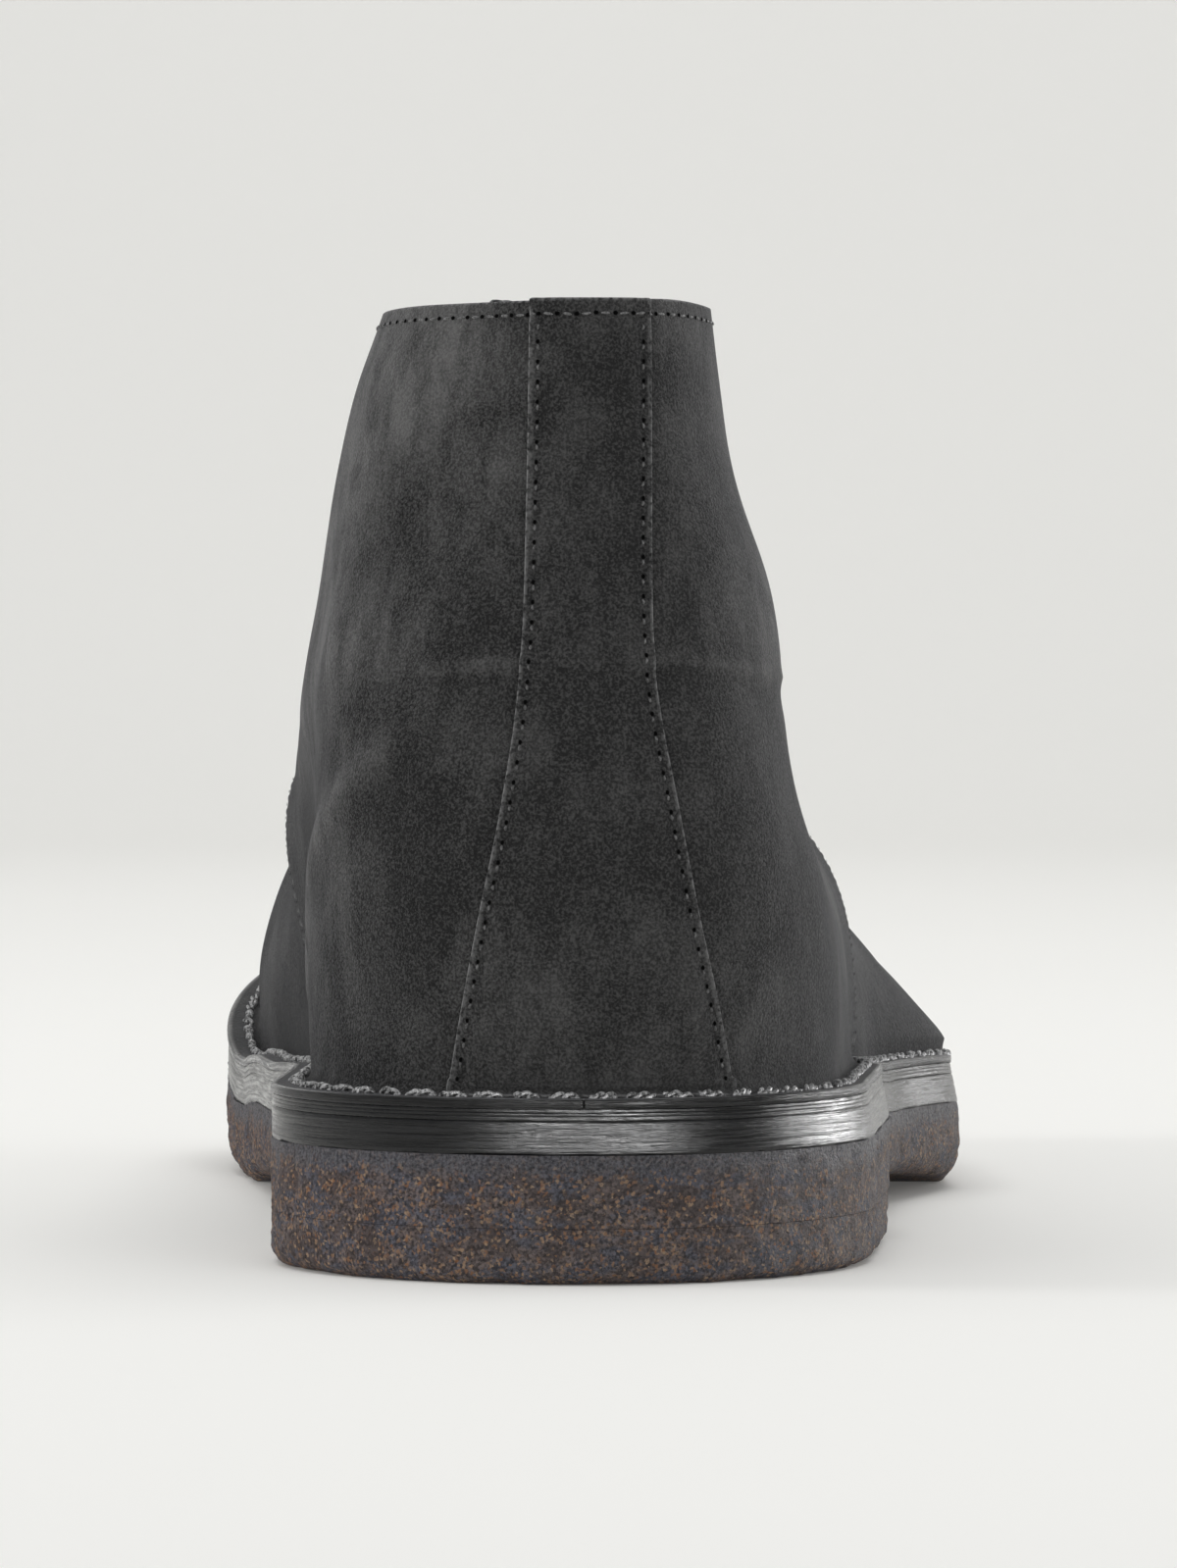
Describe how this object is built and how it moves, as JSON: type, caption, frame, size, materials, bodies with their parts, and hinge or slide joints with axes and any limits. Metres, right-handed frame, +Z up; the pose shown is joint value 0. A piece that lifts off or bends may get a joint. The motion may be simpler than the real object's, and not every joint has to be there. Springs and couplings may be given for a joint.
{
  "type": "driving boot",
  "caption": "Ankle-high suede boot for the right foot, laced at the front, with a strip over the back seam, stitched down on a crepe sole with a low heel.",
  "frame": {"origin": "middle of the boot's box at floor height", "axes": "+Y from heel to toe, +X to the outer side of the foot, +Z up"},
  "size_m": [0.111, 0.298, 0.1292],
  "materials": {
    "crepe": "dark brown speckled crepe rubber, matt",
    "black_edge": "black inked and burnished edge, satin to glossy",
    "suede": "charcoal black suede, brushed nap, matt",
    "lining": "dark smooth lining leather",
    "eyelet_metal": "black enamelled metal",
    "lace": "black waxed round cotton lace"
  },
  "bodies": {
    "root": {"outsole": "crepe", "heel_lift": "crepe", "midsole": "black_edge", "insole": "lining", "upper": "suede", "back_strip": "suede", "tongue": "suede", "eyelet_lateral_1": "eyelet_metal", "eyelet_lateral_2": "eyelet_metal", "eyelet_lateral_3": "eyelet_metal", "eyelet_medial_1": "eyelet_metal", "eyelet_medial_2": "eyelet_metal", "eyelet_medial_3": "eyelet_metal", "lace": "lace"}
  },
  "joints": []
}
